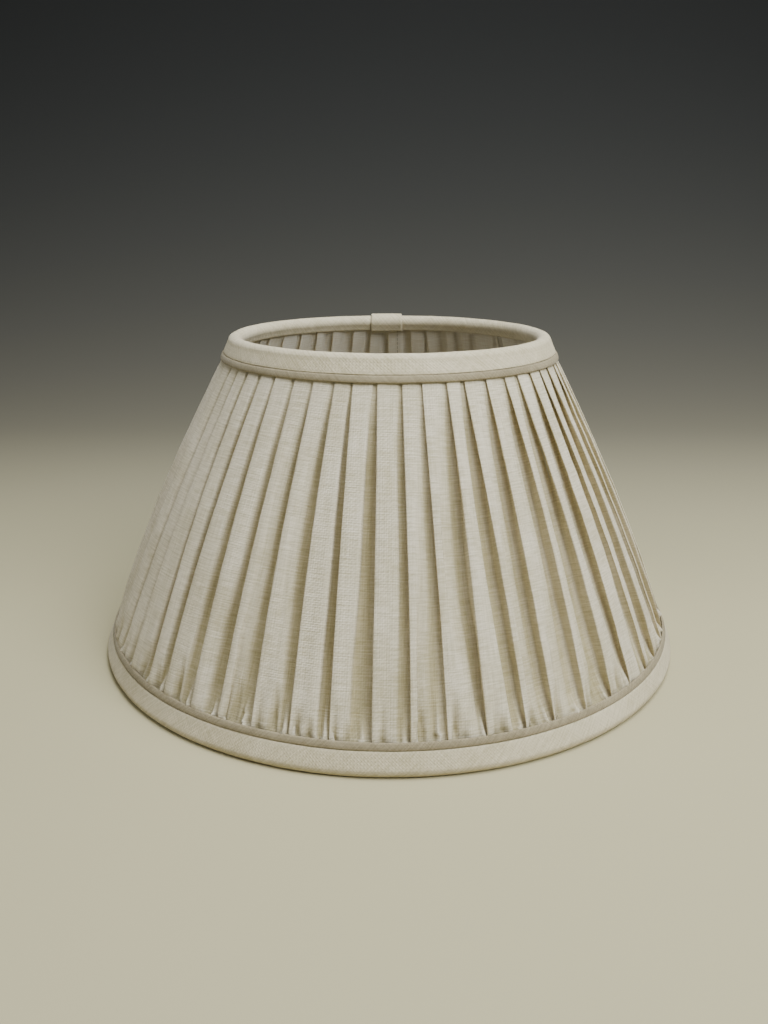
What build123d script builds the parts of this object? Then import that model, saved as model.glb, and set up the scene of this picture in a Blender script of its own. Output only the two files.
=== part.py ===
from build123d import *
from math import asin, cos, degrees, hypot, radians, sin
import os

# A pleated empire lamp shade for a table lamp. Two wire rings and eight wire struts carry a pleated linen
# cover and a gathered lining, both turned over the rings and hidden under bias bindings. A riveted gimbal,
# set below the top ring, holds the washer that sits on the lamp holder. Millimetres, +Z up, with the origin
# at the centre of the plane that the bottom edge stands on.

# Driving dimensions: the finished shade over its bindings.
BASE_DIAMETER = 350.0
TOP_DIAMETER = 188.0
HEIGHT = 185.2

# Wire frame.
RING_WIRE_R = 1.5
STRUT_WIRE_R = 1.25
STRUTS = 8

# Layers round each ring wire, as radii from the middle of the wire.
TAPE = (1.55, 1.85)
COVER_TURN = (1.95, 2.45)
LINING_TURN = (2.5, 3.0)
BINDING = (3.1, 4.0)
TOP_TAB = (4.05, 4.85)
BOTTOM_TAB = (3.55, 4.15)
TAB_SEAT_R = 3.5
TAPE_GAP = 1.4

# How far the bindings, turnings and trims reach from the ring's middle along the slanted wall.
TOP_BINDING_LEGS = (7.0, 3.5)
BOTTOM_BINDING_LEGS = (8.2, 4.0)
LINING_TURN_LEG = 5.5
COVER_STEP = 5.8
TRIM_GAP = 0.3
TRIM_WIDTH = 3.7
TRIM_SKIN = (3.1, 4.0, 4.4)
TAB_WIDTH = 21.0
TAB_OVERREACH = 0.25
TAB_TURN = 91.3

# Pleated cover and lining, as distances out from the plane of the struts.
COVER_UNDER_TRIM = 3.0
COVER_CREST = (3.2, 7.2, 4.0)
LINING_CREST = 5.0
LINING_CREST_START = 8.0

# Gimbal: hoop, arms, rivets, cradle, and the rings that sit on the lamp holder.
GIMBAL_Z = 150.0
HOOP_RADII = (48.4, 49.6)
HOOP_HEIGHT = 8.0
ARM_WIRE_R = 1.25
ARM_COPE = 0.6
RIVET_R = 1.55
RIVET_HOLE_R = 1.58
EAR_HOLE_R = 1.6
RIVET_HEAD = (3.0, 1.2)
RIVET_CLENCH = (2.6, 0.85)
EAR_X = 46.55
EAR_TOP = 4.5
STRAP_WIDTH = 8.0
STRAP_THICK = 1.2
STRAP_KNEE_DROP = 7.0
STRAP_BEND_R = 3.0
STRAP_FOOT = (29.5, 22.5)
WASHER = (3.4, 1.62, 0.6)
LAMP_RING_DROP = 30.0
LAMP_RING = (27.0, 21.0, 1.2)
REDUCER_FLANGE = (24.0, 1.5)
REDUCER_SPIGOT_R = 20.8
REDUCER_SPIGOT_DROP = 2.0
LAMP_HOLDER_BORE_R = 14.5
FACING = (1.35, 2.0, 93.0, 102.0)
LINING_HOLE_R = 2.6

# The middles of the two ring wires, and the straight slanted wall that joins them.
WRAP_R = BINDING[1]
FLAT_HALF_WIDTH = 1.0
TOP_RING_R = TOP_DIAMETER / 2 - WRAP_R
BOTTOM_RING_R = BASE_DIAMETER / 2 - WRAP_R
TOP_RING_Z = HEIGHT - WRAP_R
BOTTOM_RING_Z = (WRAP_R**2 - FLAT_HALF_WIDTH**2) ** 0.5
SLANT = hypot(BOTTOM_RING_R - TOP_RING_R, TOP_RING_Z - BOTTOM_RING_Z)
WALL_ANGLE = asin((BOTTOM_RING_R - TOP_RING_R) / SLANT)
STRUT_TURN = 360 / STRUTS
ARM_STRUTS = (1, 3, 5, 7)


def wall_point(out, down):
    """The point a distance out from the strut plane and a distance down the slant from the top ring."""
    radius = TOP_RING_R + out * cos(WALL_ANGLE) + down * sin(WALL_ANGLE)
    height = TOP_RING_Z + out * sin(WALL_ANGLE) - down * cos(WALL_ANGLE)
    return (radius, 0, height)


def wall_radius(z):
    """The radius of the strut plane at a height."""
    return wall_point(0, (TOP_RING_Z - z) / cos(WALL_ANGLE))[0]


def turned(edges):
    """A closed outline in the XZ plane, turned about the shade's axis."""
    return revolve(make_face(edges), axis=Axis.Z)



def wrap(at_bottom, radii, legs, arc=360.0):
    """A strip folded over a ring: a leg down the outside, round the wire, and a leg down the inside.

    Under the bottom ring the fold is pressed flat where the shade stands on it.
    """
    start, way = (SLANT, -1) if at_bottom else (0.0, 1)

    def point(out, along):
        return wall_point(out, start + way * along)

    def bend(radius, side):
        """A quarter of the fold, from the leg on one side to the point under or over the wire."""
        return ThreePointArc(
            point(side * radius, 0),
            point(side * radius * sin(radians(45)), -radius * cos(radians(45))),
            point(0, -radius),
        )

    near, far = radii
    outer_leg, inner_leg = legs
    edges = [
        Line(point(far, outer_leg), point(far, 0)),
        bend(far, 1),
        bend(far, -1),
        Line(point(-far, 0), point(-far, inner_leg)),
        Line(point(-far, inner_leg), point(-near, inner_leg)),
        Line(point(-near, inner_leg), point(-near, 0)),
        bend(near, -1),
        bend(near, 1),
        Line(point(near, 0), point(near, outer_leg)),
        Line(point(near, outer_leg), point(far, outer_leg)),
    ]
    section = make_face(edges)
    if at_bottom:
        ground = Plane.XZ * Pos(BOTTOM_RING_R, -WRAP_R) * Rectangle(4 * WRAP_R, 2 * WRAP_R)
        section -= ground
    return revolve(section, axis=Axis.Z, revolution_arc=arc)


def slanted_rod(radius):
    """A straight round rod in the XZ plane, from one ring's middle to the other's."""
    top = Vector(*wall_point(0, 0))
    bottom = Vector(*wall_point(0, SLANT))
    return Solid.make_cylinder(radius, (bottom - top).length, Plane(origin=top, z_dir=bottom - top))


def wound_tape(radius, z):
    """Cotton tape wound on a ring wire, in one length from each strut to the next."""
    start = degrees(TAPE_GAP / radius)
    middle = Plane(origin=(radius, 0, z), x_dir=(1, 0, 0), z_dir=(0, -1, 0))
    section = middle * (Circle(TAPE[1]) - Circle(TAPE[0]))
    length = revolve(section, axis=Axis.Z, revolution_arc=STRUT_TURN - 2 * start)
    return Compound([Rot(Z=k * STRUT_TURN + start) * length for k in range(STRUTS)])


def frame_parts():
    """Two ring wires, eight struts welded between them, and the cotton tape wound on the rings."""
    nodes = {}
    top = Pos(Z=TOP_RING_Z) * Torus(TOP_RING_R, RING_WIRE_R)
    bottom = Pos(Z=BOTTOM_RING_Z) * Torus(BOTTOM_RING_R, RING_WIRE_R)
    nodes["top_ring"] = top
    nodes["bottom_ring"] = bottom
    strut = slanted_rod(STRUT_WIRE_R) - top - bottom
    for k in range(STRUTS):
        nodes[f"strut_{k + 1}"] = Rot(Z=k * STRUT_TURN) * strut
    nodes["top_ring_tape"] = wound_tape(TOP_RING_R, TOP_RING_Z)
    nodes["bottom_ring_tape"] = wound_tape(BOTTOM_RING_R, BOTTOM_RING_Z)
    return nodes


def cover():
    """Pleated linen: flat under the bindings and trims, and bulging outwards between them."""
    inside, turn = COVER_TURN
    top_edge = TOP_BINDING_LEGS[0] + 2 * TRIM_GAP + TRIM_WIDTH
    bottom_edge = SLANT - BOTTOM_BINDING_LEGS[0] - 2 * TRIM_GAP - TRIM_WIDTH
    crest_top, crest_mid, crest_bottom = COVER_CREST
    path = [
        (turn, 0),
        (turn, COVER_STEP),
        (COVER_UNDER_TRIM, COVER_STEP),
        (COVER_UNDER_TRIM, top_edge),
        (crest_top, top_edge),
    ]
    back = [
        (crest_bottom, bottom_edge),
        (COVER_UNDER_TRIM, bottom_edge),
        (COVER_UNDER_TRIM, SLANT - COVER_STEP),
        (turn, SLANT - COVER_STEP),
        (turn, SLANT),
        (inside, SLANT),
        (inside, 0),
        (turn, 0),
    ]
    bulge = ThreePointArc(
        wall_point(crest_top, top_edge),
        wall_point(crest_mid, SLANT / 2),
        wall_point(crest_bottom, bottom_edge),
    )
    edges = [Polyline(*[wall_point(*p) for p in path]), bulge, Polyline(*[wall_point(*p) for p in back])]
    return turned(edges)


def lining():
    """Gathered cotton inside the struts, brought over both rings, with a hole for each gimbal arm."""
    near, far = LINING_TURN
    leg = LINING_TURN_LEG
    start, end = LINING_CREST_START, SLANT - LINING_CREST_START

    def line(a, b):
        return Line(wall_point(*a), wall_point(*b))

    def arc(a, b, c):
        return ThreePointArc(wall_point(*a), wall_point(*b), wall_point(*c))

    edges = [
        line((far, leg), (far, 0)),
        arc((far, 0), (0, -far), (-far, 0)),
        line((-far, 0), (-far, start)),
        arc((-far, start), (-LINING_CREST, SLANT / 2), (-far, end)),
        line((-far, end), (-far, SLANT)),
        arc((-far, SLANT), (0, SLANT + far), (far, SLANT)),
        line((far, SLANT), (far, SLANT - leg)),
        line((far, SLANT - leg), (near, SLANT - leg)),
        line((near, SLANT - leg), (near, SLANT)),
        arc((near, SLANT), (0, SLANT + near), (-near, SLANT)),
        line((-near, SLANT), (-near, 0)),
        arc((-near, 0), (0, -near), (near, 0)),
        line((near, 0), (near, leg)),
        line((near, leg), (far, leg)),
    ]
    shell = turned(edges)
    hole = radial_rod(LINING_HOLE_R, FACING[2], wall_radius(GIMBAL_Z))
    for k in ARM_STRUTS:
        shell -= Rot(Z=k * STRUT_TURN) * hole
    return shell


def trim(at_bottom):
    """A narrow folded strip with eased edges, beside the edge of a binding."""
    leg = (BOTTOM_BINDING_LEGS if at_bottom else TOP_BINDING_LEGS)[0] + TRIM_GAP
    back, edge, crown = TRIM_SKIN
    near, far = (SLANT - leg, SLANT - leg - TRIM_WIDTH) if at_bottom else (leg, leg + TRIM_WIDTH)
    ease = (far - near) / 5
    corners = [(back, near), (edge, near), (crown, near + ease)]
    corners += [(crown, far - ease), (edge, far), (back, far)]
    return turned([Polyline(*[wall_point(*corner) for corner in corners], close=True)])


def bindings_and_tabs():
    """Bias strips folded over both edges, each with a short tab over the join at the back."""
    nodes = {}
    nodes["top_binding"] = wrap(False, BINDING, TOP_BINDING_LEGS)
    top_arc = degrees(TAB_WIDTH / TOP_RING_R)
    top_reach = [leg + TAB_OVERREACH for leg in TOP_BINDING_LEGS]
    nodes["top_join_tab"] = Rot(Z=TAB_TURN - top_arc / 2) * wrap(False, TOP_TAB, top_reach, top_arc)

    bottom_arc = degrees(TAB_WIDTH / BOTTOM_RING_R)
    to_join = Rot(Z=TAB_TURN - bottom_arc / 2)
    seat_reach = [leg + TAB_OVERREACH for leg in BOTTOM_BINDING_LEGS]
    seat = to_join * wrap(True, (TAB_SEAT_R, WRAP_R + 1), seat_reach, bottom_arc)
    nodes["bottom_binding"] = wrap(True, BINDING, BOTTOM_BINDING_LEGS) - seat
    nodes["bottom_join_tab"] = to_join * wrap(True, BOTTOM_TAB, BOTTOM_BINDING_LEGS, bottom_arc)
    return nodes


def radial_rod(radius, start, end):
    """A round rod along +X at the height of the gimbal."""
    origin = (start, 0, GIMBAL_Z)
    return Solid.make_cylinder(radius, end - start, Plane(origin=origin, z_dir=(1, 0, 0)))


def gimbal_parts():
    """The fixed half of the gimbal: a hoop on four arms, two rivets, and the lining's collars on the arms."""
    nodes = {}
    inner, outer = HOOP_RADII
    hoop = Pos(Z=GIMBAL_Z) * (Cylinder(outer, HOOP_HEIGHT) - Cylinder(inner, HOOP_HEIGHT))
    hoop -= radial_rod(RIVET_HOLE_R, -2 * outer, 2 * outer)
    nodes["gimbal_hoop"] = hoop

    arm = radial_rod(ARM_WIRE_R, outer - ARM_COPE / 2, wall_radius(GIMBAL_Z) - ARM_COPE)
    arm = arm - slanted_rod(STRUT_WIRE_R) - Pos(Z=GIMBAL_Z) * Cylinder(outer, 2 * HOOP_HEIGHT)
    bore, rim, start, end = FACING
    facing = radial_rod(rim, start, end) - radial_rod(bore, start, end)
    for number, k in enumerate(ARM_STRUTS, 1):
        nodes[f"gimbal_arm_{number}"] = Rot(Z=k * STRUT_TURN) * arm
        nodes[f"arm_facing_{number}"] = Rot(Z=k * STRUT_TURN) * facing

    head_r, head = RIVET_HEAD
    clench_r, clench = RIVET_CLENCH
    clench_end = EAR_X - STRAP_THICK / 2 - 0.1
    rivet = radial_rod(RIVET_R, clench_end - clench, outer + head)
    rivet += radial_rod(head_r, outer, outer + head)
    rivet += radial_rod(clench_r, clench_end - clench, clench_end)
    rivet = fillet(rivet.edges().sort_by(Axis.X)[-1], head / 2)
    nodes["pivot_rivet_1"] = rivet
    nodes["pivot_rivet_2"] = Rot(Z=180) * rivet
    return nodes


def cradle_parts():
    """The moving half of the gimbal: a U of two straps on the rivets, with the lamp ring and its reducer."""
    nodes = {}
    seat_z = GIMBAL_Z - LAMP_RING_DROP
    foot_z = seat_z - STRAP_THICK / 2
    knee, foot_end = STRAP_FOOT
    path = FilletPolyline(
        (EAR_X, 0, GIMBAL_Z + EAR_TOP),
        (EAR_X, 0, GIMBAL_Z - STRAP_KNEE_DROP),
        (knee, 0, foot_z),
        (foot_end, 0, foot_z),
        radius=STRAP_BEND_R,
    )
    section = Plane(origin=path @ 0, z_dir=path % 0, x_dir=(1, 0, 0)) * Rectangle(STRAP_THICK, STRAP_WIDTH)
    strap = sweep(section, path=path)
    ear_corners = strap.edges().filter_by(Axis.X).sort_by(Axis.Z)[-2:]
    strap = fillet(ear_corners, STRAP_WIDTH / 2 - 0.4)
    strap -= radial_rod(EAR_HOLE_R, 0, 2 * EAR_X)
    washer_r, washer_bore, washer_thick = WASHER
    washer_x = EAR_X + STRAP_THICK / 2 + 0.05
    washer = radial_rod(washer_r, washer_x, washer_x + washer_thick)
    washer -= radial_rod(washer_bore, washer_x, washer_x + washer_thick)
    for number in (1, 2):
        side = Rot(Z=180 * (number - 1))
        nodes[f"cradle_strap_{number}"] = side * strap
        nodes[f"pivot_washer_{number}"] = side * washer

    on_base = (Align.CENTER, Align.CENTER, Align.MIN)
    ring_r, ring_bore, ring_thick = LAMP_RING
    ring = Cylinder(ring_r, ring_thick, align=on_base) - Cylinder(ring_bore, ring_thick, align=on_base)
    nodes["lamp_ring"] = Pos(Z=seat_z) * ring

    flange_r, flange = REDUCER_FLANGE
    spigot = ring_thick + REDUCER_SPIGOT_DROP
    reducer = Pos(Z=seat_z + ring_thick) * Cylinder(flange_r, flange, align=on_base)
    reducer += Pos(Z=seat_z - REDUCER_SPIGOT_DROP) * Cylinder(REDUCER_SPIGOT_R, spigot, align=on_base)
    reducer -= Pos(Z=seat_z) * Cylinder(LAMP_HOLDER_BORE_R, 8 * spigot)
    nodes["reducer_ring"] = reducer
    return nodes


os.makedirs("parts", exist_ok=True)
shade = {
    **frame_parts(),
    "cover": cover(),
    "lining": lining(),
    "top_trim": trim(at_bottom=False),
    "bottom_trim": trim(at_bottom=True),
    **bindings_and_tabs(),
    **gimbal_parts(),
    **cradle_parts(),
}
for name, shape in shade.items():
    shape.label = name
    export_step(shape, f"parts/{name}.step")
print(len(shade), "nodes, slant", round(SLANT, 1), "wall angle", round(degrees(WALL_ANGLE), 2))
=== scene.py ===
import math

import bmesh
import bpy
import numpy as np
from mathutils import Matrix, Vector, noise
from mathutils.bvhtree import BVHTree


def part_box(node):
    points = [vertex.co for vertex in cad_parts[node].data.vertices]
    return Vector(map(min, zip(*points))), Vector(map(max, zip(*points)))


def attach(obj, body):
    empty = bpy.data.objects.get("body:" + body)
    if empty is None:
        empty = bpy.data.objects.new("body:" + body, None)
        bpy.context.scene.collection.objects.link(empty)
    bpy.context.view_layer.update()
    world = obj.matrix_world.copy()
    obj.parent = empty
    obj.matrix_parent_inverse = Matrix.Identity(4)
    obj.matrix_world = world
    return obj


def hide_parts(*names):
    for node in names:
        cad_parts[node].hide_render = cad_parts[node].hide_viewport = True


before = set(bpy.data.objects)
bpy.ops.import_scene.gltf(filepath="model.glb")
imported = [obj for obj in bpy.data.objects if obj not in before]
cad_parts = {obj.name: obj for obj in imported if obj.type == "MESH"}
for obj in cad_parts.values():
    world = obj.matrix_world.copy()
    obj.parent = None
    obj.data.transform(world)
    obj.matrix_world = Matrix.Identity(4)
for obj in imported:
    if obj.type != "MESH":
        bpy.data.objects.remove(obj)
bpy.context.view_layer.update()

# ---------------------------------------------------------------------------------------------------
# Camera: a fairly wide lens close to the shade, a little above its top edge and looking down on it, so
# that the mouth shows as a narrow ellipse. It is turned a third of a degree off the shade's axis.
MM = 0.001
CAMERA_LENS = 31.77
CAMERA_AWAY = 536.6 * MM
CAMERA_HEIGHT = 250.1 * MM
CAMERA_TILT = 18.11
CAMERA_TURN = 0.34
camera_data = bpy.data.cameras.new("camera")
camera_data.sensor_width = 36.0
camera_data.lens = CAMERA_LENS
camera = bpy.data.objects.new("camera", camera_data)
camera.location = (0, -CAMERA_AWAY, CAMERA_HEIGHT)
camera.rotation_euler = (math.radians(90 - CAMERA_TILT), 0, math.radians(CAMERA_TURN))
bpy.context.scene.collection.objects.link(camera)
bpy.context.scene.camera = camera

# ---------------------------------------------------------------------------------------------------
# Wire frame: two rings and eight struts of steel wire, spot welded and dipped in white epoxy. The
# rings set out the whole shade, so the places of every other piece are worked out from them.
PAINT = "E4E2DA"
PAINT_SHADE = "D3D0C6"


def linear(hex_colour):
    """An sRGB hex colour as linear red, green, blue and alpha."""
    parts = [int(hex_colour[i : i + 2], 16) / 255 for i in (0, 2, 4)]
    return [p / 12.92 if p <= 0.04045 else ((p + 0.055) / 1.055) ** 2.4 for p in parts] + [1.0]


def add(material, kind, settings=None, links=None):
    """A shader node with its settings, and the sockets that feed it."""
    node = material.node_tree.nodes.new("ShaderNode" + kind)
    for name, value in (settings or {}).items():
        if isinstance(name, int) or name in node.inputs:
            node.inputs[name].default_value = value
        else:
            setattr(node, name, value)
    for name, socket in (links or {}).items():
        material.node_tree.links.new(socket, node.inputs[name])
    return node


def new_material(name):
    """An empty node material and its output node."""
    material = bpy.data.materials.new(name)
    material.use_nodes = True
    material.node_tree.nodes.clear()
    return material, add(material, "OutputMaterial")


def wear(node_name, material):
    """Give a CAD node this material in place of its plain one."""
    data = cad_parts[node_name].data
    data.materials.clear()
    data.materials.append(material)


def epoxy_paint(name, light, dark, grain):
    """Dipped white epoxy: an even satin film, with a faint orange peel and thinner, darker patches."""
    material, output = new_material(name)
    place = add(material, "TexCoord")
    at = place.outputs["Object"]
    cloud = add(material, "TexNoise", {"Scale": 60.0, "Detail": 3.0}, {"Vector": at})
    peel = add(material, "TexNoise", {"Scale": grain, "Detail": 1.0}, {"Vector": at})
    colour = add(material, "ValToRGB", {}, {"Fac": cloud.outputs["Fac"]})
    colour.color_ramp.elements[0].position = 0.35
    colour.color_ramp.elements[0].color = linear(dark)
    colour.color_ramp.elements[1].position = 0.6
    colour.color_ramp.elements[1].color = linear(light)
    bump = add(
        material, "Bump", {"Strength": 0.12, "Distance": 0.1 * MM}, {"Height": peel.outputs["Fac"]}
    )
    surface = add(
        material,
        "BsdfPrincipled",
        {"Roughness": 0.38, "Coat Weight": 0.25, "Coat Roughness": 0.2},
        {"Base Color": colour.outputs["Color"], "Normal": bump.outputs["Normal"]},
    )
    material.node_tree.links.new(surface.outputs[0], output.inputs[0])
    return material


wire_paint = epoxy_paint("white_epoxy_coated_wire", PAINT, PAINT_SHADE, 1400.0)
struts = [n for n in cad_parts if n.startswith("strut_")]
STRUT_TURN = 2 * math.pi / len(struts)
for node_name in ["top_ring", "bottom_ring"] + struts:
    wear(node_name, wire_paint)


def ring_middle(node_name):
    """The radius and height of the middle of a ring's wire."""
    low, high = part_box(node_name)
    wire = (high.z - low.z) / 2
    return high.x - wire, low.z + wire


TOP_RING_R, TOP_RING_Z = ring_middle("top_ring")
BOTTOM_RING_R, BOTTOM_RING_Z = ring_middle("bottom_ring")
SLANT = math.hypot(BOTTOM_RING_R - TOP_RING_R, TOP_RING_Z - BOTTOM_RING_Z)
WALL_SIN = (BOTTOM_RING_R - TOP_RING_R) / SLANT
WALL_COS = (TOP_RING_Z - BOTTOM_RING_Z) / SLANT


def wall_radius(out, down):
    """The radius at a distance out from the struts' wall and down it from the top ring."""
    return TOP_RING_R + out * WALL_COS + down * WALL_SIN


def on_wall(out, down, turn):
    """The point at that place on the wall, turned anticlockwise from +X."""
    radius = wall_radius(out, down)
    height = TOP_RING_Z + out * WALL_SIN - down * WALL_COS
    return Vector((radius * math.cos(turn), radius * math.sin(turn), height))


# ---------------------------------------------------------------------------------------------------
# Ring tapes: unbleached cotton tape wound on each ring wire with each turn lapping the last, for the
# cover to be sewn to. The lapped turns make low slanted steps.
TAPE_R = 1.7 * MM
TAPE_STEP = 0.16 * MM
TAPE_TURN_SPACING = 7.0 * MM
BACK = math.pi / 2


def cloth_sheet(width, length, across, down):
    """A flat sheet of cloth as a grid in its own plane, with its cut size in metres as its UV map."""
    shape = bmesh.new()
    bmesh.ops.create_grid(shape, x_segments=across, y_segments=down, size=0.5)
    for vert in shape.verts:
        vert.co.x = (vert.co.x + 0.5) * width
        vert.co.y = (vert.co.y + 0.5) * length
    uv = shape.loops.layers.uv.new("UVMap")
    for face in shape.faces:
        face.smooth = True
        for loop in face.loops:
            loop[uv].uv = loop.vert.co.xy
    return shape


def finish_piece(name, shape, material, weld=True):
    """Put the mesh in the scene, with the two ends of a closed sheet merged."""
    if weld:
        bmesh.ops.remove_doubles(shape, verts=shape.verts, dist=0.004 * MM)
    data = bpy.data.meshes.new(name)
    shape.to_mesh(data)
    shape.free()
    piece = bpy.data.objects.new(name, data)
    piece.data.materials.append(material)
    bpy.context.scene.collection.objects.link(piece)
    return piece


def woven_cloth(
    name, light, dark, spacing, slant=0.0, through=0.2, slub=1.0, sheen=0.12, valley=None
):
    """Plain-weave cloth: round threads over and under each other, and thicker slubs along the weft.

    The eye sees fine level streaks on a matt ground, softened by the light that comes through. The
    threads lie by the cloth's own UV map, in metres. Where a cloth has a valley colour, painted shade
    is multiplied into its colour where its valley attribute says: darker in the valleys and dents of
    its pleats, standing in for the shade there and the light lost through the one layer of cloth.
    """
    material, output = new_material(name)
    tree = material.node_tree
    flat = add(material, "UVMap", {"uv_map": "UVMap"})
    turned = add(material, "Mapping", {"Rotation": (0, 0, slant)}, {"Vector": flat.outputs["UV"]})
    threads = add(
        material, "Mapping", {"Scale": (1 / spacing, 1 / spacing, 1)}, {"Vector": turned.outputs[0]}
    )
    split = add(material, "SeparateXYZ", {}, {"Vector": threads.outputs[0]})
    rounds = []
    for axis in ("X", "Y"):
        angle = add(material, "Math", {"operation": "MULTIPLY", 1: math.pi}, {0: split.outputs[axis]})
        wave = add(material, "Math", {"operation": "SINE"}, {0: angle.outputs[0]})
        rounds.append(add(material, "Math", {"operation": "ABSOLUTE"}, {0: wave.outputs[0]}))
    over = add(material, "TexChecker", {"Scale": 1.0}, {"Vector": threads.outputs[0]})
    weave = add(
        material,
        "Mix",
        {"data_type": "FLOAT"},
        {0: over.outputs["Fac"], 2: rounds[0].outputs[0], 3: rounds[1].outputs[0]},
    )
    slub_noise = []
    for stretch in ((110.0, 1250.0, 1.0), (1300.0, 60.0, 1.0)):
        run = add(material, "Mapping", {"Scale": stretch}, {"Vector": turned.outputs[0]})
        slub_noise.append(
            add(material, "TexNoise", {"Scale": 1.0, "Detail": 2.0}, {"Vector": run.outputs[0]})
        )
    yarn = add(
        material,
        "Mix",
        {"data_type": "FLOAT", 0: 0.35},
        {2: slub_noise[0].outputs["Fac"], 3: slub_noise[1].outputs["Fac"]},
    )
    height = add(
        material,
        "Math",
        {"operation": "MULTIPLY_ADD", 1: 1.6 * slub},
        {0: yarn.outputs[0], 2: weave.outputs[0]},
    )
    cloud = add(material, "TexNoise", {"Scale": 28.0, "Detail": 2.0}, {"Vector": flat.outputs["UV"]})
    tone = add(
        material,
        "Math",
        {"operation": "MULTIPLY_ADD", 1: 0.35},
        {0: cloud.outputs["Fac"], 2: yarn.outputs[0]},
    )
    colour = add(material, "ValToRGB", {}, {"Fac": tone.outputs[0]})
    colour.color_ramp.elements[0].position = 0.52
    colour.color_ramp.elements[0].color = linear(dark)
    colour.color_ramp.elements[1].position = 0.83
    colour.color_ramp.elements[1].color = linear(light)
    cloth_colour = colour.outputs["Color"]
    # Painted shade: the valley colour is multiplied into the cloth's colour as far as the valley
    # attribute says.
    if valley:
        painted_shade = add(material, "Attribute", {"attribute_name": "valley"})
        shaded_cloth_colour = add(
            material,
            "Mix",
            {"data_type": "RGBA", "blend_type": "MULTIPLY", 7: linear(valley)},
            {0: painted_shade.outputs["Fac"], 6: cloth_colour},
        )
        cloth_colour = shaded_cloth_colour.outputs[2]
    bump = add(
        material, "Bump", {"Strength": 0.7, "Distance": 0.16 * MM}, {"Height": height.outputs[0]}
    )
    front = add(
        material,
        "BsdfPrincipled",
        {"Roughness": 0.92, "Specular IOR Level": 0.25, "Sheen Weight": sheen, "Sheen Roughness": 0.45},
        {"Base Color": cloth_colour, "Normal": bump.outputs["Normal"]},
    )
    behind = add(material, "BsdfTranslucent", {}, {"Color": cloth_colour})
    both = add(material, "MixShader", {"Fac": through}, {1: front.outputs[0], 2: behind.outputs[0]})
    tree.links.new(both.outputs[0], output.inputs[0])
    return material


cotton_tape = woven_cloth("unbleached_cotton_tape", "D9D3C2", "C4BCA8", 0.9 * MM, through=0.05)


def wound_tape(name, radius, height):
    """Tape wound round a ring wire: a sheet rolled into a tube, raised a step at each lap."""
    laps = round(2 * math.pi * radius / TAPE_TURN_SPACING)
    shape = cloth_sheet(2 * math.pi * radius, 2 * math.pi * TAPE_R, 8 * laps, 12)
    for vert in shape.verts:
        turn = vert.co.x / radius
        roll = vert.co.y / TAPE_R
        lap = (laps * turn / (2 * math.pi) + roll / (2 * math.pi)) % 1.0
        wire = TAPE_R + TAPE_STEP * (lap - 0.5)
        reach = radius + wire * math.cos(roll)
        vert.co = (reach * math.cos(turn), reach * math.sin(turn), height - wire * math.sin(roll))
    return finish_piece(name, shape, cotton_tape)


top_tape = wound_tape("wound_tape_top", TOP_RING_R, TOP_RING_Z)
bottom_tape = wound_tape("wound_tape_bottom", BOTTOM_RING_R, BOTTOM_RING_Z)
for piece, node_name in ((top_tape, "top_ring_tape"), (bottom_tape, "bottom_ring_tape")):
    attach(piece, "shade")
    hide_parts(node_name)

# ---------------------------------------------------------------------------------------------------
# Pleated cover: ivory slub linen, folded by hand into knife pleats that all face one way and sewn to
# the taped rings. The folds are pressed close together at the top. They part towards the wider base,
# where the last of the fullness is pinched in above the trim.
IVORY = "ECE2C9"
IVORY_SHADE = "C9BE9C"
PLEATS = 55
PLEAT_CLOTH = 28.0 * MM
FOLD_ARC = (0.0, 0.3, 0.7, 1.3, 2.1)
FOLD_BEND = 0.45 * MM
COVER_COLUMNS = 32
RING_CLEAR = 0.5 * MM
TRIM_TOP_EDGE = 11.2 * MM
TRIM_BOTTOM_EDGE = 12.4 * MM
PINCHED = 45.0 * MM
STRUT_HOLD = 12.0 * MM
STRUT_FREE = 24.0 * MM
PUCKER_SPOTS = (0.03, 0.24, 0.1)
PUCKER_REACHES = (1.0, 1.0, 7.0)
PUCKER_WIDTHS = (1.7 * MM, 2.0 * MM, 3.0 * MM)
RIDGE_WIDTH = 1.2 * MM


def smooth(x, low, high):
    """0 at low and before it, 1 at high and past it, and an even curve between."""
    x = min(max((x - low) / (high - low), 0.0), 1.0)
    return x * x * (3 - 2 * x)


def fold_fractions(cloth, columns):
    """Where across one pleat's cloth its columns lie, from 0 to 1: close together at the folds."""
    near = [arc * MM / cloth for arc in FOLD_ARC]
    middle = columns - 2 * len(near) + 1
    inner = [near[-1] + (1 - 2 * near[-1]) * (i + 1) / (middle + 1) for i in range(middle)]
    return near + inner + [1 - f for f in reversed(near[1:])]


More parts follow.
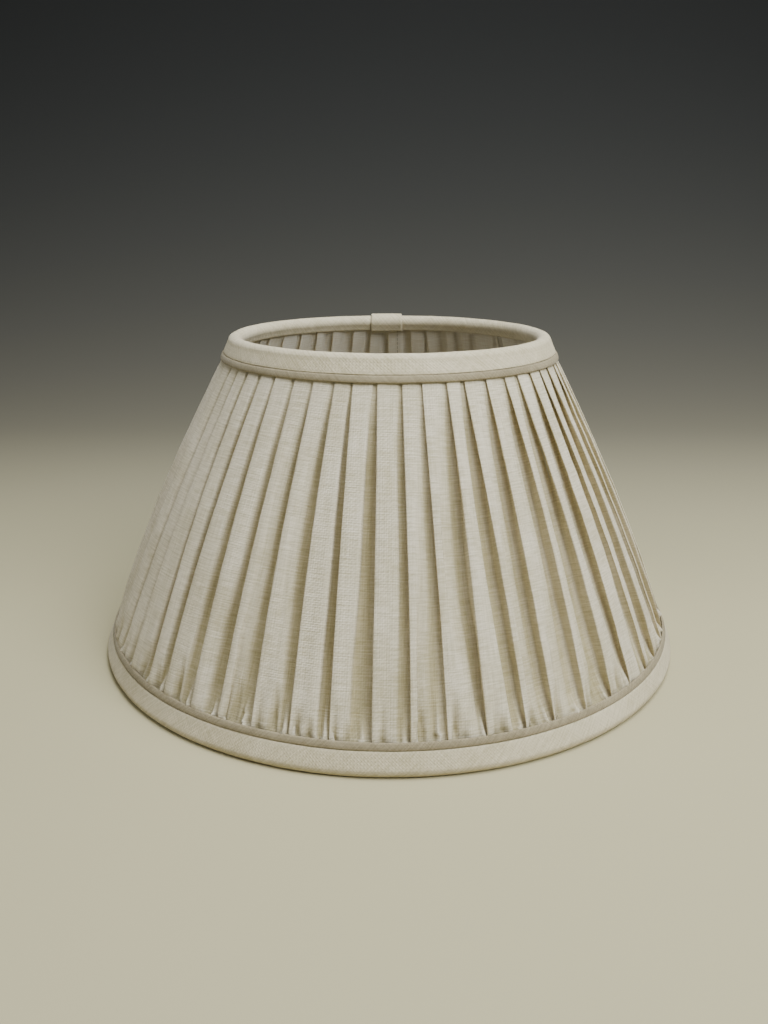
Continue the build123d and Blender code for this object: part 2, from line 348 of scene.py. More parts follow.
def pleat_section(pitch, cloth, crest, floor, gap, roll):
    """The line of one pleat's cloth at one height: from its outer fold, across its face, down into the
    valley, on under the next face, and back out to the next fold. Each point is (along, out). What goes
    under the next face takes up the rest of the cloth, and cutting the corners rounds the folds."""
    rise = crest - floor
    bend = np.minimum(FOLD_BEND, 0.3 * rise)
    face = pitch - gap

    def line(under):
        points = [
            (0.0, crest - bend),
            (0.0, crest),
            (0.25 * face, crest + 0.02 * rise),
            (0.55 * face, crest - 0.07 * rise),
            (face - (0.2 + 0.7 * roll) * gap, crest - (0.16 + 0.1 * roll) * rise),
            (face - 0.2 * roll * gap, crest - (0.26 + 0.22 * roll) * rise),
            (face + (0.02 + 0.16 * roll) * gap, crest - (0.5 + 0.15 * roll) * rise),
            (face + (0.06 + 0.28 * roll) * gap, floor + (0.06 + 0.08 * roll) * rise),
            (face + (0.18 + 0.3 * roll) * gap, floor),
            (pitch + 0.5 * under, floor),
            (pitch + under, floor),
            (pitch + under, floor + 0.3 * rise),
            (pitch + 0.25 * under, crest - 2.6 * bend),
            (pitch, crest - 2 * bend),
            (pitch, crest - bend),
        ]
        return np.array([np.stack(np.broadcast_arrays(x, y), -1) for x, y in points]).transpose(1, 0, 2)

    under = 0.3 * pitch
    for _ in range(6):
        length = np.linalg.norm(np.diff(line(under), axis=1), axis=2).sum(1)
        under = np.clip(under + 0.5 * (cloth - length), 0.02 * pitch, 0.8 * pitch)
    points = line(under)
    for _ in range(3):
        cut = np.empty((len(points), 2 * points.shape[1], 2))
        cut[:, 0], cut[:, -1] = points[:, 0], points[:, -1]
        cut[:, 1:-1:2] = 0.75 * points[:, :-1] + 0.25 * points[:, 1:]
        cut[:, 2:-1:2] = 0.25 * points[:, :-1] + 0.75 * points[:, 1:]
        points = cut
    return points


def along_section(points, fractions):
    """Points at the given fractions of a section's length."""
    steps = np.linalg.norm(np.diff(points, axis=1), axis=2)
    reach = np.concatenate([np.zeros((len(steps), 1)), np.cumsum(steps, axis=1)], axis=1)
    out = np.empty((len(points), len(fractions), 2))
    for k, (line, length) in enumerate(zip(points, reach)):
        at = np.array(fractions) * length[-1]
        out[k, :, 0] = np.interp(at, length, line[:, 0])
        out[k, :, 1] = np.interp(at, length, line[:, 1])
    return out


def spread(start, end, count, power=1.0):
    """Row places from start up to but not including end, closer at the end if power is under 1."""
    return [start + (end - start) * (i / count) ** power for i in range(count)]


cover_rows = (
    spread(RING_CLEAR, TRIM_TOP_EDGE, 4)
    + spread(TRIM_TOP_EDGE, SLANT - PINCHED, 22)
    + spread(SLANT - PINCHED, SLANT - TRIM_BOTTOM_EDGE, 20, 0.75)
    + spread(SLANT - TRIM_BOTTOM_EDGE, SLANT - RING_CLEAR, 5)
    + [SLANT - RING_CLEAR]
)


def cover_crest(x):
    """How far the faces stand out from the struts, from the top trim (0) to the bottom one (1)."""
    swell = math.sin(math.pi * min(max(x, 0.0), 1.0) ** 1.15) ** 0.8
    return (3.3 + 4.0 * swell * (1 - 0.2 * x) + 1.3 * x) * MM


def pleated_sheet(pleats, cloth, rows, columns, settings, seed, side):
    """A sheet of cloth pleated on to the wall: outside it (side 1) or inside it (side -1).

    Above the bottom trim each pleat has up to three hollows: two narrow puckers, and a long shallow
    dent. A ridge stands up in the valley beside them. Between the struts the valleys sag inwards.
    """
    rng = np.random.default_rng(seed)
    fractions = np.array(fold_fractions(cloth, columns))
    even = 2 * math.pi * (np.arange(pleats) + rng.uniform(-1, 1, pleats) * settings["uneven"]) / pleats
    drift = rng.uniform(-1, 1, pleats) * settings["drift"]
    sway = rng.uniform(-1, 1, pleats) * settings["sway"]
    phase = rng.uniform(0, 2 * math.pi, pleats)
    roll = settings["roll"] * rng.uniform(0, 1, pleats) ** 1.5
    openness = [rng.uniform(low, high, pleats) for low, high in settings["openness"]]
    height = rng.uniform(0.82, 1.05, pleats)
    spots = rng.uniform(0.05, 0.17, (pleats, 3)) + np.array(PUCKER_SPOTS)
    depth = rng.uniform(0.35, 1.0, (pleats, 3)) * (rng.uniform(0, 1, (pleats, 3)) < 0.8)
    depth = depth * np.array([settings["pinch"], settings["pinch"], settings["hollow"]])
    reach = rng.uniform(9, 26, (pleats, 3)) * np.array(PUCKER_REACHES) * MM
    lift = settings["pinch"] * rng.uniform(0.35, 0.85, pleats)
    lift_reach = rng.uniform(10, 24, pleats) * MM
    lift_shift = rng.uniform(-1.3, 1.3, pleats) * MM
    last = SLANT - TRIM_BOTTOM_EDGE
    table = []
    for down in rows:
        x = (down - TRIM_TOP_EDGE) / (last - TRIM_TOP_EDGE)
        turn = even + drift * (x - 0.5) + sway * np.sin(4 * x + phase)
        turn = np.append(turn, turn[0] + 2 * math.pi)
        radius = wall_radius(0, down)
        pitch = np.diff(turn) * radius
        crest, floor, gap = settings["shape"](x, down)
        aside = np.abs((turn[:-1] + STRUT_TURN / 2) % STRUT_TURN - STRUT_TURN / 2) * radius
        off_struts = np.array([smooth(from_strut, STRUT_HOLD, STRUT_FREE) for from_strut in aside])
        floor = floor - settings["sag"] * off_struts * smooth(x, 0.0, 0.2) * smooth(1.03 - x, 0.0, 0.12)
        near_top, near_bottom = smooth(x, 0.5, 0.0), smooth(x, 0.5, 1.0)
        bands = (near_top, 1 - near_top - near_bottom, near_bottom)
        open_here = sum(share * each for share, each in zip(bands, openness))
        gaps = np.clip(gap * open_here, 0.05 * pitch, 0.55 * pitch)
        tops = floor + (crest - floor) * height
        section = along_section(pleat_section(pitch, cloth, tops, floor, gaps, roll), fractions)
        along, out = section[..., 0], section[..., 1]
        at = (fractions * cloth)[None, :]
        for k, width in enumerate(PUCKER_WIDTHS):
            pull = np.clip(1 - (last - down) / reach[:, k], 0, 1)[:, None] * depth[:, k : k + 1]
            out = out - pull * np.exp(-(((at - spots[:, k : k + 1] * cloth) / width) ** 2))
        middle = (pitch - 0.45 * gaps)[:, None]
        ridge_at = fractions[np.argmax(along > middle, axis=1)] * cloth + lift_shift
        pull = np.clip(1 - (last - down) / lift_reach, 0, 1)[:, None] ** 1.3 * lift[:, None]
        out = out + pull * np.exp(-(((at - ridge_at[:, None]) / RIDGE_WIDTH) ** 2))
        out = np.clip(out, floor[:, None] - 0.2 * MM, crest * 1.05)
        # The valley attribute is painted shade: darker the deeper the cloth lies below the faces, less
        # in narrow gaps, and most away from the next fold's overhang, where light would reach the
        # valley floor. It darkens the puckers and dents too.
        painted_shade = np.clip((tops[:, None] - out) / (tops - floor)[:, None] * 1.6 - 0.4, 0, 1)
        painted_shade = painted_shade * np.clip(0.25 + 0.75 * gaps[:, None] / (5 * MM), 0, 1)
        painted_shade = painted_shade * np.clip(0.3 + (pitch[:, None] - along) / (0.6 * gaps[:, None]), 0, 1)
        place = turn[:-1, None] + along / radius
        columns_here = (grid[:, :-1].ravel() for grid in (place, out, painted_shade))
        table.append([])
        for angle, stand, painted_shade_here in zip(*columns_here):
            swing = Vector((10 * math.cos(angle), 10 * math.sin(angle), 93 * down))
            stand += settings["ripple"] * noise.noise(swing)
            table[-1].append((stand, down, angle, painted_shade_here))
    per = len(fractions) - 1
    width, length = pleats * cloth, rows[-1] - rows[0]
    shape = cloth_sheet(width, length, pleats * per, len(rows) - 1)
    uv = shape.loops.layers.uv.active
    for face in shape.faces:
        for loop in face.loops:
            column = round(loop.vert.co.x / width * pleats * per)
            row = round(loop.vert.co.y / length * (len(rows) - 1))
            loop[uv].uv = ((column // per + fractions[column % per]) * cloth, rows[row])
    # This attribute carries the painted shade. The cover's material multiplies it in; the lining's does
    # not.
    valley = shape.verts.layers.float.new("valley")
    for vert in shape.verts:
        column = round(vert.co.x / width * pleats * per) % (pleats * per)
        row = round(vert.co.y / length * (len(rows) - 1))
        out, down, turn, vert[valley] = table[row][column]
        vert.co = on_wall(side * out, down, side * turn + BACK)
    if side > 0:
        bmesh.ops.reverse_faces(shape, faces=shape.faces)
    return shape


def cover_shape(x, down):
    """Crest, valley floor and gap of the cover's pleats at one height."""
    under_top = smooth(down, TRIM_TOP_EDGE - 1.4 * MM, TRIM_TOP_EDGE + 0.8 * MM)
    under_bottom = smooth(SLANT - down, TRIM_BOTTOM_EDGE - 1.6 * MM, TRIM_BOTTOM_EDGE + 0.8 * MM)
    held = under_top * under_bottom
    crest = cover_crest(x) * held + 2.9 * MM * (1 - held)
    floor = (2.05 - 0.65 * held * smooth(x, 0.0, 0.15)) * MM
    gap = (1.7 + 5.7 * (1 - math.exp(-max(x, 0) / 0.35))) * MM
    return crest, floor, gap


cover_settings = {
    "shape": cover_shape,
    "uneven": 0.07,
    "drift": math.radians(1.3),
    "sway": math.radians(0.3),
    "openness": ((0.75, 1.35), (0.65, 1.4), (0.4, 1.75)),
    "roll": 1.0,
    "pinch": 5.4 * MM,
    "hollow": 1.4 * MM,
    "sag": 1.7 * MM,
    "ripple": 0.3 * MM,
}
LINEN_THREAD = 1.15 * MM
# The valley colour here is the painted shade multiplied into the cover's valleys, dents and puckers.
cover_linen = woven_cloth("ivory_slub_linen", IVORY, IVORY_SHADE, LINEN_THREAD, valley="D8D4BF")
shape = pleated_sheet(
    PLEATS, PLEAT_CLOTH, cover_rows, COVER_COLUMNS, cover_settings, seed=11, side=1
)
cover = finish_piece("pleated_cover", shape, cover_linen)
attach(cover, "shade")
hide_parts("cover")

# ---------------------------------------------------------------------------------------------------
# Lining: thin cream cotton hung inside the struts and gathered on to both rings. Its folds are shallow,
# loose and uneven, and part soon below the top ring. One machined seam joins its ends at the back.
CREAM = "F6F0DE"
CREAM_SHADE = "E6DCC2"
LINING_PLEATS = 44
LINING_CLOTH = 25.0 * MM
LINING_COLUMNS = 24
LINING_SEWN = 5.0 * MM
LINING_HELD = 25.0 * MM
lining_rows = (
    spread(RING_CLEAR, LINING_SEWN, 3)
    + spread(LINING_SEWN, SLANT - LINING_HELD, 22)
    + spread(SLANT - LINING_HELD, SLANT - LINING_SEWN, 8)
    + [SLANT - LINING_SEWN, SLANT - RING_CLEAR]
)


def lining_shape(x, down):
    """Crest, valley floor and gap of the lining's folds at one height."""
    held = smooth(down, 2 * MM, 10 * MM) * smooth(SLANT - down, 3 * MM, 16 * MM)
    crest = (2.9 + 1.1 * held) * MM
    floor = (2.1 - 0.5 * held) * MM
    gap = (4.0 + 3.5 * (1 - math.exp(-max(x, 0) / 0.12))) * MM
    return crest, floor, gap


lining_settings = {
    "shape": lining_shape,
    "uneven": 0.22,
    "drift": math.radians(3.5),
    "sway": math.radians(0.7),
    "openness": ((0.5, 1.9), (0.5, 1.9), (0.5, 1.9)),
    "roll": 1.0,
    "pinch": 0.8 * MM,
    "hollow": 0.5 * MM,
    "sag": 0.0,
    "ripple": 0.5 * MM,
}
lining_cotton = woven_cloth(
    "cream_cotton_lawn", CREAM, CREAM_SHADE, 0.9 * MM, through=0.4, slub=0.5
)
shape = pleated_sheet(
    LINING_PLEATS, LINING_CLOTH, lining_rows, LINING_COLUMNS, lining_settings, seed=5, side=-1
)
lining = finish_piece("gathered_lining", shape, lining_cotton)
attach(lining, "shade")
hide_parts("lining")

# The seam's machine stitches: short straight lengths of cotton thread on the lining's inner face.
SEAM_AT = BACK - math.radians(3.4)
SEAM_START = 5.0 * MM
SEAM_UNSEWN = 14.0 * MM
STITCH_PITCH = 3.2 * MM
STITCH_LENGTH = 2.3 * MM
THREAD_R = 0.17 * MM


def spun_cotton(name, light, dark):
    """Spun sewing thread: a matt surface with the slanted bands of its plies."""
    material, output = new_material(name)
    place = add(material, "TexCoord")
    plies = add(
        material,
        "TexWave",
        {"Scale": 900.0, "bands_direction": "DIAGONAL"},
        {"Vector": place.outputs["Object"]},
    )
    colour = add(material, "ValToRGB", {}, {"Fac": plies.outputs["Fac"]})
    colour.color_ramp.elements[0].color = linear(dark)
    colour.color_ramp.elements[1].color = linear(light)
    surface = add(
        material, "BsdfPrincipled", {"Roughness": 0.85}, {"Base Color": colour.outputs["Color"]}
    )
    material.node_tree.links.new(surface.outputs[0], output.inputs[0])
    return material


inner_face = BVHTree.FromObject(lining, bpy.context.evaluated_depsgraph_get())
out_from_axis = Vector((math.cos(SEAM_AT), math.sin(SEAM_AT), 0))
stitches = bmesh.new()
for number in range(int((SLANT - SEAM_UNSEWN) / STITCH_PITCH)):
    ends = []
    for end in (0.0, STITCH_LENGTH):
        height = on_wall(0, SEAM_START + number * STITCH_PITCH + end, SEAM_AT).z
        touch, *_ = inner_face.ray_cast(Vector((0, 0, height)), out_from_axis)
        ends.append(touch - out_from_axis * 0.6 * THREAD_R)
    run = ends[1] - ends[0]
    turned = run.to_track_quat("Z", "Y").to_matrix().to_4x4()
    bmesh.ops.create_cone(
        stitches,
        cap_ends=True,
        segments=6,
        radius1=THREAD_R,
        radius2=THREAD_R,
        depth=run.length,
        matrix=Matrix.Translation((ends[0] + ends[1]) / 2) @ turned,
    )
cotton_thread = spun_cotton("cotton_thread", "B9AF97", "978C74")
seam_stitches = finish_piece("lining_seam_stitches", stitches, cotton_thread, weld=False)
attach(seam_stitches, "shade")

# ---------------------------------------------------------------------------------------------------
# Contrast trims: narrow strips of taupe linen, cut 10 mm wide, with both edges folded under, glued
# round the cover against each binding. A binding's legs are how far it reaches outside and inside.
TAUPE = "A19578"
TAUPE_SHADE = "857A5E"
STRIP_THICK = 0.3 * MM
TRIM_GAP = 0.3 * MM
TRIM_WIDTH = 3.7 * MM
TRIM_FACE = (4.0 * MM, 4.3 * MM)
TRIM_BACK = 3.45 * MM
TRIM_FLAP = 1.5 * MM
TRIM_WAVER = 0.1 * MM
TOP_LEGS = (7.0 * MM, 3.5 * MM)
BOTTOM_LEGS = (8.2 * MM, 4.0 * MM)
AROUND_TOP, AROUND_BOTTOM = 288, 432
BIAS = math.radians(45)
taupe_linen = woven_cloth("taupe_linen_strip", TAUPE, TAUPE_SHADE, 1.0 * MM, BIAS, 0.03)


def arc_points(middle, radius, start, end, steps):
    """Points round part of a circle, from one angle to another in degrees."""
    turns = [math.radians(start + (end - start) * i / steps) for i in range(steps + 1)]
    return [(middle[0] + radius * math.cos(t), middle[1] + radius * math.sin(t)) for t in turns]


def cloth_strip(name, path, around, material, thick, waver, seed):
    """A strip of cloth carried once round the shade, its section a path of (out, down) points."""
    steps = [math.dist(a, b) for a, b in zip(path, path[1:])]
    reach = [sum(steps[:i]) for i in range(len(path))]
    radius = wall_radius(*path[len(path) // 2])
    shape = cloth_sheet(2 * math.pi, len(path) - 1, around, len(path) - 1)
    uv = shape.loops.layers.uv.active
    for face in shape.faces:
        for loop in face.loops:
            loop[uv].uv = (loop.vert.co.x * radius, reach[round(loop.vert.co.y)])
    for vert in shape.verts:
        out, down = path[round(vert.co.y)]
        turn = vert.co.x
        around_place = Vector((9 * math.cos(turn), 9 * math.sin(turn), seed))
        out += waver * noise.noise(around_place + Vector((0, 0, 90 * down)))
        down += waver * noise.noise(0.6 * around_place + Vector((0, 0, 50)))
        vert.co = on_wall(out, down, turn + BACK)
    bmesh.ops.recalc_face_normals(shape, faces=shape.faces)
    strip = finish_piece(name, shape, material)
    wall = strip.modifiers.new("cloth thickness", "SOLIDIFY")
    wall.thickness = thick
    wall.offset = 0
    return strip


def trim_path(near, way):
    """A trim's section from one raw edge to the other: flap, fold, domed face, fold, flap."""
    edge, crown = TRIM_FACE
    middle = TRIM_WIDTH / 2
    bend = (edge - TRIM_BACK) / 2
    half = [(TRIM_BACK, middle - bend - share * TRIM_FLAP) for share in (1.0, 0.7, 0.3)]
    half += arc_points((TRIM_BACK + bend, middle - bend), bend, 180, 0, 5)[:-1]
    for side in np.linspace(middle - bend, 0, 4):
        half.append((edge + (crown - edge) * (1 - (side / middle) ** 2), side))
    full = half + [(out, -side) for out, side in reversed(half[:-1])]
    return [(out, near + way * (middle + side)) for out, side in full]


top_trim = cloth_strip(
    "contrast_trim_top",
    trim_path(TOP_LEGS[0] + TRIM_GAP, 1),
    AROUND_TOP,
    taupe_linen,
    STRIP_THICK,
    TRIM_WAVER,
    seed=3,
)
bottom_trim = cloth_strip(
    "contrast_trim_bottom",
    trim_path(SLANT - BOTTOM_LEGS[0] - TRIM_GAP, -1),
    AROUND_BOTTOM,
    taupe_linen,
    STRIP_THICK,
    TRIM_WAVER,
    seed=4,
)
for piece, node_name, ring_r in (
    (top_trim, "top_trim", TOP_RING_R),
    (bottom_trim, "bottom_trim", BOTTOM_RING_R),
):
    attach(piece, "shade")
    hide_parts(node_name)

# ---------------------------------------------------------------------------------------------------
# Bindings: strips of the cover's linen cut on the bias, 30 mm wide, with both edges turned under,
# stretched over each ring and glued down outside and in, so they hide the sewn edges. The top one
# stands a little fuller over its ring. The bottom one is pressed flat where the shade stands on it.
BINDING_IVORY = "DBCFB0"
BINDING_SHADE = "BFB38F"
BINDING_R = 3.8 * MM
TOP_CREST_R = 4.7 * MM
BINDING_UNDER_R = 3.3 * MM
BINDING_THICK = 0.4 * MM
BINDING_TUCK = 3.5 * MM
BINDING_WAVER = 0.16 * MM
binding_linen = woven_cloth(
    "ivory_linen_bias_strip", BINDING_IVORY, BINDING_SHADE, LINEN_THREAD, BIAS, 0.08
)


def binding_path(at_bottom, legs, crest_r):
    """A binding's section from one raw edge to the other, as (out, down) points on the wall."""
    bend = (BINDING_R - BINDING_UNDER_R) / 2
    middle = BINDING_UNDER_R + bend
    outer, inner = (leg - bend - BINDING_THICK / 2 for leg in legs)
    path = [(BINDING_UNDER_R, outer - BINDING_TUCK), (BINDING_UNDER_R, outer - BINDING_TUCK / 2)]
    path += arc_points((middle, outer), bend, 180, 0, 6)
    path += [(BINDING_R, outer * i / 5) for i in range(4, 0, -1)]
    for out, down in arc_points((0, 0), BINDING_R, 0, -180, 24):
        fuller = 1 + (crest_r / BINDING_R - 1) * (-down / BINDING_R)
        path.append((out * fuller, down * fuller))
    path += [(-BINDING_R, inner * i / 3) for i in range(1, 3)]
    path += arc_points((-middle, inner), bend, 180, 0, 6)
    path += [(-BINDING_UNDER_R, inner - BINDING_TUCK / 2)]
    start, way = (SLANT, -1) if at_bottom else (0.0, 1)
    return [(out, start + way * down) for out, down in path]


top_binding = cloth_strip(
    "bias_binding_top",
    binding_path(False, TOP_LEGS, TOP_CREST_R),
    AROUND_TOP,
    binding_linen,
    BINDING_THICK,
    BINDING_WAVER,
    seed=1,
)
bottom_binding = cloth_strip(
    "bias_binding_bottom",
    binding_path(True, BOTTOM_LEGS, BINDING_R),
    AROUND_BOTTOM,
    binding_linen,
    BINDING_THICK,
    BINDING_WAVER,
    seed=2,
)
for vert in bottom_binding.data.vertices:
    vert.co.z = max(vert.co.z, BINDING_THICK / 2)
for piece, node_name, ring_r in (
    (top_binding, "top_binding", TOP_RING_R),
    (bottom_binding, "bottom_binding", BOTTOM_RING_R),
):
    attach(piece, "shade")
    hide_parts(node_name)

# ---------------------------------------------------------------------------------------------------
# Join tabs: a short folded strip of the same linen over the place where each binding's ends meet at
# the back, glued over the edge like a belt loop. Its turned-in edges lie against the binding.
TAB_WIDTH = 21.0 * MM
TAB_TURN_IN = 3.5 * MM
TAB_AT = BACK + math.radians(1.3)
TAB_THICK = 0.35 * MM
TAB_COLUMNS = 54
TAB_EDGE = (9.6 * MM, 10.5 * MM)
TAB_EDGE_DROP = 0.1 * MM
TAB_FULLER = 0.2
TAB_LOWEST = 0.2 * MM


def join_tab(name, at_bottom, legs, radius):
    """A tab wrapped over a binding, with its two long edges turned under."""
    path = [(radius, legs[0] * i / 5) for i in range(5, 0, -1)]
    path += arc_points((0, 0), radius, 0, -180, 20)
    path += [(-radius, legs[1] * i / 4) for i in range(1, 5)]
    start, way = (SLANT, -1) if at_bottom else (0.0, 1)
    steps = [math.dist(a, b) for a, b in zip(path, path[1:])]
    reach = [sum(steps[:i]) for i in range(len(path))]
    cut = TAB_WIDTH + 2 * TAB_TURN_IN
    shape = cloth_sheet(cut, len(path) - 1, TAB_COLUMNS, len(path) - 1)
    uv = shape.loops.layers.uv.active
    ring_r = BOTTOM_RING_R if at_bottom else TOP_RING_R
    for face in shape.faces:
        for loop in face.loops:
            loop[uv].uv = (loop.vert.co.x, reach[round(loop.vert.co.y)])
    for vert in shape.verts:
        side = vert.co.x - cut / 2
        past = max(abs(side) - TAB_WIDTH / 2, 0.0)
        place = math.copysign(min(abs(side), TAB_WIDTH / 2) - past, side)
        sunk = TAB_THICK * smooth(past, 0, 0.5 * MM) + TAB_EDGE_DROP * smooth(abs(place), *TAB_EDGE)
        out, down = path[round(vert.co.y)]
        scale = (radius - sunk) / radius
        if down < 0:
            fuller = 1 + TAB_FULLER * (-down / radius)
            out, down = out * scale * fuller, down * scale * fuller
        else:
            out = out * scale
        vert.co = on_wall(out, start + way * down, TAB_AT + place / (ring_r + out))
        vert.co.z = max(vert.co.z, TAB_LOWEST)
    bmesh.ops.recalc_face_normals(shape, faces=shape.faces)
    tab = finish_piece(name, shape, binding_linen, weld=False)
    wall = tab.modifiers.new("cloth thickness", "SOLIDIFY")
    wall.thickness = TAB_THICK
    wall.offset = 0
    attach(tab, "shade")
    return tab


top_tab = join_tab("join_tab_top", False, (7.2 * MM, 3.7 * MM), 5.0 * MM)
bottom_tab = join_tab(
    "join_tab_bottom", True, (8.4 * MM, 4.2 * MM), 4.25 * MM
)
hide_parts("top_join_tab")
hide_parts("bottom_join_tab")

# ---------------------------------------------------------------------------------------------------
# Gimbal: a steel hoop on four wire arms, painted with the frame, and two plated steel rivets that
# carry the cradle. The collars are cuffs of lining cotton round each arm where it comes through.
arms = [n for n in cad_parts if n.startswith("gimbal_arm_")]
for node_name in ["gimbal_hoop"] + arms:
    wear(node_name, wire_paint)


def plated_steel(name, light, dark):
    """Bright zinc plate on a formed rivet: grey metal, with the fine scratches of the rivet set."""
    material, output = new_material(name)
    place = add(material, "TexCoord")
    run = add(
        material, "Mapping", {"Scale": (300.0, 2500.0, 2500.0)}, {"Vector": place.outputs["Object"]}
    )
    scratch = add(material, "TexNoise", {"Scale": 1.0, "Detail": 3.0}, {"Vector": run.outputs[0]})
    colour = add(material, "ValToRGB", {}, {"Fac": scratch.outputs["Fac"]})
    colour.color_ramp.elements[0].color = linear(dark)
    colour.color_ramp.elements[1].color = linear(light)
    bump = add(
        material, "Bump", {"Strength": 0.2, "Distance": 0.05 * MM}, {"Height": scratch.outputs["Fac"]}
    )
    surface = add(
        material,
        "BsdfPrincipled",
        {"Metallic": 1.0, "Roughness": 0.32},
        {"Base Color": colour.outputs["Color"], "Normal": bump.outputs["Normal"]},
    )
    material.node_tree.links.new(surface.outputs[0], output.inputs[0])
    return material


zinc = plated_steel("zinc_plated_steel", "C9C8C4", "A3A29E")
for node_name in ("pivot_rivet_1", "pivot_rivet_2"):
    wear(node_name, zinc)

# A collar is a sleeve along the arm, which flares into a brim where it meets the lining.
COLLAR_R = 1.75 * MM
COLLAR_FLARE_R = 4.5 * MM
COLLAR_AROUND = 12.0 * MM
COLLAR_LENGTH = 10.0 * MM
COLLAR_THICK = 0.25 * MM
COLLAR_START = 4.5 * MM
COLLAR_SLEEVE = 6.2 * MM
COLLAR_BRIM = 0.9 * MM
SLEEVE_SHARE = 0.75
FLARE_FROM = 0.62
COLLAR_PUCKER = 0.12 * MM
for number in range(1, 5):
    node_name = f"arm_facing_{number}"
    low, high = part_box(node_name)
    middle = (low + high) / 2
    turn = math.atan2(middle.y, middle.x)
    reach = math.hypot(middle.x, middle.y)
    shape = cloth_sheet(COLLAR_AROUND, COLLAR_LENGTH, 24, 10)
    for vert in shape.verts:
        roll = 2 * math.pi * vert.co.x / COLLAR_AROUND
        share = vert.co.y / COLLAR_LENGTH
        flare = smooth(share, FLARE_FROM, 1.0)
        radius = COLLAR_R + (COLLAR_FLARE_R - COLLAR_R) * flare
        radius += COLLAR_PUCKER * math.sin(5 * roll) * share
        sideways = radius * math.cos(roll)
        up = radius * math.sin(roll)
        at = reach - COLLAR_START + COLLAR_SLEEVE * min(share / SLEEVE_SHARE, 1.0)
        at += COLLAR_BRIM * max(share - SLEEVE_SHARE, 0) / (1 - SLEEVE_SHARE)
        at -= up * WALL_SIN / WALL_COS * flare
        vert.co = (
            at * math.cos(turn) - sideways * math.sin(turn),
            at * math.sin(turn) + sideways * math.cos(turn),
            middle.z + up,
        )
    collar = finish_piece(f"arm_collar_{number}", shape, lining_cotton)
    wall = collar.modifiers.new("cloth thickness", "SOLIDIFY")
    wall.thickness = COLLAR_THICK
    wall.offset = 0
    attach(collar, "shade")
    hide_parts(node_name)

# ---------------------------------------------------------------------------------------------------
# Cradle: two pressed steel straps and the lamp ring, painted like the frame, with nylon washers at the
# pivots and a moulded plastic reducer in the ring. All of it swings on the rivets.
pressed_paint = epoxy_paint("white_epoxy_coated_pressing", PAINT, PAINT_SHADE, 900.0)
for node_name in ("cradle_strap_1", "cradle_strap_2", "lamp_ring"):
    wear(node_name, pressed_paint)


def moulded_plastic(name, light, dark, roughness, grain):
    """Injection-moulded plastic: even colour, a fine spark-eroded texture and a soft shine."""
    material, output = new_material(name)
    place = add(material, "TexCoord")
    at = place.outputs["Object"]
    texture = add(material, "TexNoise", {"Scale": grain, "Detail": 2.0}, {"Vector": at})
    cloud = add(material, "TexNoise", {"Scale": 45.0, "Detail": 2.0}, {"Vector": at})
    colour = add(material, "ValToRGB", {}, {"Fac": cloud.outputs["Fac"]})
    colour.color_ramp.elements[0].color = linear(dark)
    colour.color_ramp.elements[1].color = linear(light)
    bump = add(
        material, "Bump", {"Strength": 0.15, "Distance": 0.05 * MM}, {"Height": texture.outputs["Fac"]}
    )
    surface = add(
        material,
        "BsdfPrincipled",
        {"Roughness": roughness, "IOR": 1.5},
        {"Base Color": colour.outputs["Color"], "Normal": bump.outputs["Normal"]},
    )
    material.node_tree.links.new(surface.outputs[0], output.inputs[0])
    return material


wear("reducer_ring", moulded_plastic("white_moulded_plastic", "E6E4DE", "DAD7CF", 0.3, 1500.0))
nylon = moulded_plastic("natural_nylon", "DDD8C8", "CFC9B6", 0.5, 1200.0)
for node_name in ("pivot_washer_1", "pivot_washer_2"):
    wear(node_name, nylon)

# ---------------------------------------------------------------------------------------------------
# Studio: a sheet of graduated backdrop paper, pale along the table and darker up the curve behind it,
# with a tone for the table, the foot of the curve, its middle and its top. The darkening is partly the
# paper's graded print and partly painted shade, for the light that falls off up the curve. Two broad
# soft boxes stand left and right, the right one much stronger, and one is above.
PAPER_WIDTH = 7.0
PAPER_FRONT = -3.0
PAPER_FLAT = 0.55
PAPER_CURVE = 0.8
PAPER_ARC = PAPER_CURVE * math.pi / 2
PAPER_RISE = 3.0
PAPER_TONES = (
    (0.0, "BAB18A"),
    (PAPER_FLAT, "6C685B"),
    (PAPER_FLAT + PAPER_ARC / 2, "3C3D3A"),
    (PAPER_FLAT + PAPER_ARC, "242423"),
)


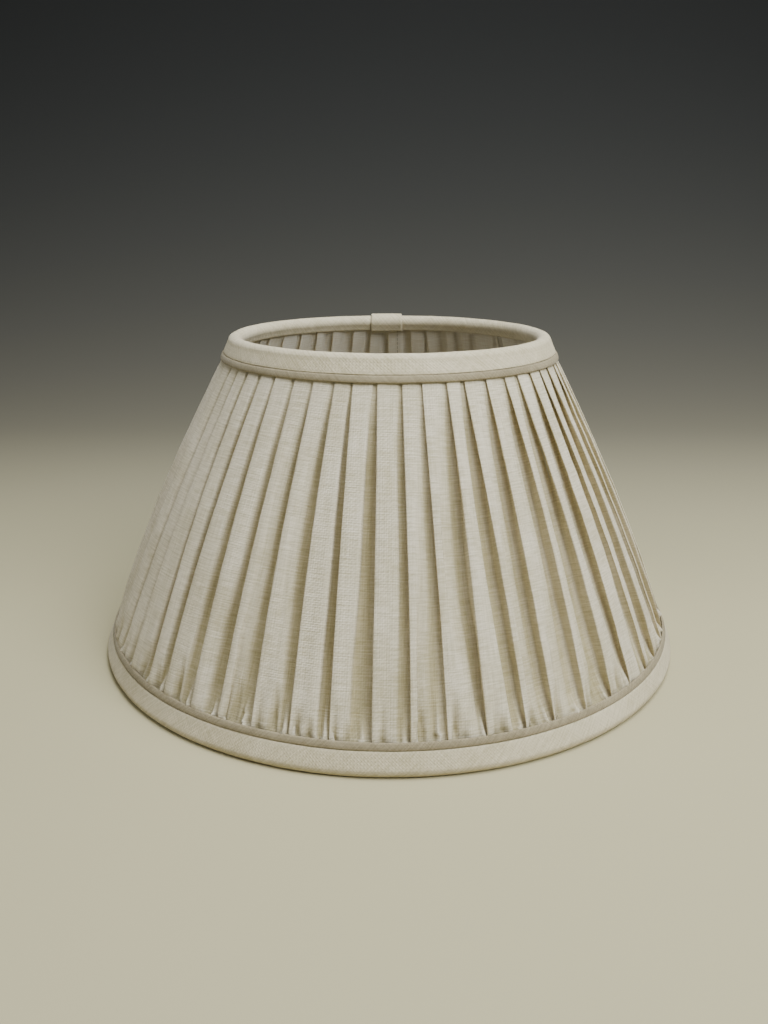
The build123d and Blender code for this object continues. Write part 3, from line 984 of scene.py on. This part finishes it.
def graduated_paper(name, tones):
    """Matt paper, its tone set by how far along the sheet it is, with a very faint tooth. The tone
    darkens up the curve: partly the paper's graded print, partly painted shade for the light falling
    off.
    """
    material, output = new_material(name)
    place = add(material, "TexCoord")
    along = add(material, "UVMap", {"uv_map": "UVMap"})
    axes = add(material, "SeparateXYZ", {}, {"Vector": along.outputs["UV"]})
    end = tones[-1][0]
    share = add(material, "Math", {"operation": "DIVIDE", 1: end}, {0: axes.outputs["Y"]})
    colour = add(material, "ValToRGB", {}, {"Fac": share.outputs[0]})
    ramp = colour.color_ramp
    ramp.interpolation = "B_SPLINE"
    for number, (at, tone) in enumerate(tones):
        stop = ramp.elements[number] if number < 2 else ramp.elements.new(at / end)
        stop.position = at / end
        stop.color = linear(tone)
    tooth = add(material, "TexNoise", {"Scale": 900.0}, {"Vector": place.outputs["Object"]})
    bump = add(
        material, "Bump", {"Strength": 0.03, "Distance": 0.1 * MM}, {"Height": tooth.outputs["Fac"]}
    )
    surface = add(
        material,
        "BsdfPrincipled",
        {"Roughness": 0.95, "Specular IOR Level": 0.2},
        {"Base Color": colour.outputs["Color"], "Normal": bump.outputs["Normal"]},
    )
    material.node_tree.links.new(surface.outputs[0], output.inputs[0])
    return material


length = PAPER_FLAT - PAPER_FRONT + PAPER_ARC + PAPER_RISE
sweep = cloth_sheet(PAPER_WIDTH, length, 2, 240)
uv = sweep.loops.layers.uv.active
for face in sweep.faces:
    for loop in face.loops:
        loop[uv].uv = (loop.vert.co.x, max(loop.vert.co.y + PAPER_FRONT, 0.0))
for vert in sweep.verts:
    along = vert.co.y + PAPER_FRONT
    bent = min(max(along - PAPER_FLAT, 0.0), PAPER_ARC) / PAPER_CURVE
    y = min(along, PAPER_FLAT) + PAPER_CURVE * math.sin(bent)
    z = PAPER_CURVE * (1 - math.cos(bent)) + max(along - PAPER_FLAT - PAPER_ARC, 0.0)
    vert.co = (vert.co.x - PAPER_WIDTH / 2, y, z)
paper_print_and_shade = graduated_paper("graduated_backdrop_paper", PAPER_TONES)
paper = finish_piece("graduated_paper", sweep, paper_print_and_shade, weld=False)

COOL_DAYLIGHT = (0.95, 0.99, 1.06)
SHADE_MIDDLE = (0, 0, 0.08)


def soft_box(name, place, aim, size, watts):
    """A rectangular area light of cool daylight that points at a place."""
    data = bpy.data.lights.new(name, "AREA")
    data.shape = "RECTANGLE"
    data.size, data.size_y = size
    data.energy = watts
    data.color = COOL_DAYLIGHT
    light = bpy.data.objects.new(name, data)
    light.location = place
    light.rotation_euler = (Vector(aim) - Vector(place)).to_track_quat("-Z", "Y").to_euler()
    bpy.context.scene.collection.objects.link(light)


soft_box("left_soft_box", (-1.3, -0.4, 1.0), SHADE_MIDDLE, (0.8, 0.9), 5.5)
soft_box("right_soft_box", (0.85, -0.8, 1.25), SHADE_MIDDLE, (0.9, 0.8), 26.5)
soft_box("overhead_soft_box", (0.25, -0.15, 1.3), (0, 0, 0), (1.0, 0.8), 23.5)
world = bpy.data.worlds.new("studio")
bpy.context.scene.world = world
world.use_nodes = True
room = world.node_tree.nodes["Background"]
room.inputs["Color"].default_value = linear("8F9498")
room.inputs["Strength"].default_value = 0.05
